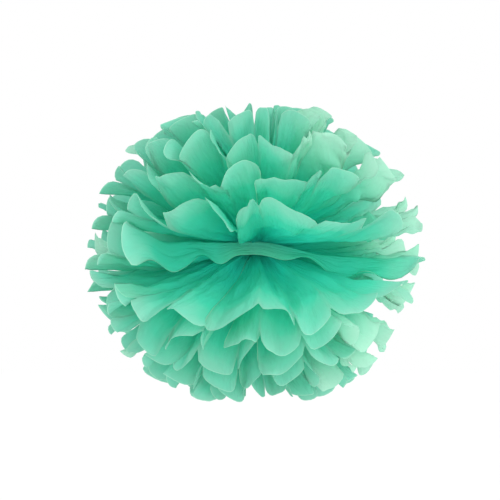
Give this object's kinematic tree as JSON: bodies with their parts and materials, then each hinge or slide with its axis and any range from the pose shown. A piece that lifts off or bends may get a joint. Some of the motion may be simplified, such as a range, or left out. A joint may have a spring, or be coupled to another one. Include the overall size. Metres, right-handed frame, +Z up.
{
  "type": "tissue paper pom pom",
  "caption": "Round party decoration of pleated tissue paper, tied at its middle with wire and fluffed out into layered petals.",
  "frame": {"origin": "middle of the wire tie, which is the middle of the ball", "axes": "+Z up, across the stack of sheets; +X along the gathered strip; -Y towards the front, where the cut edges of the two halves meet"},
  "size_m": [0.3418, 0.3335, 0.3037],
  "materials": {
    "tissue": "matt, slightly translucent tissue paper",
    "wire": "thin soft florist's wire"
  },
  "bodies": {
    "root": {"tissue_sheet_1": "tissue", "tissue_sheet_2": "tissue", "tissue_sheet_3": "tissue", "tissue_sheet_4": "tissue", "tissue_sheet_5": "tissue", "tissue_sheet_6": "tissue", "tissue_sheet_7": "tissue", "tissue_sheet_8": "tissue", "tissue_sheet_9": "tissue", "tissue_sheet_10": "tissue", "tie_wire": "wire"}
  },
  "joints": []
}
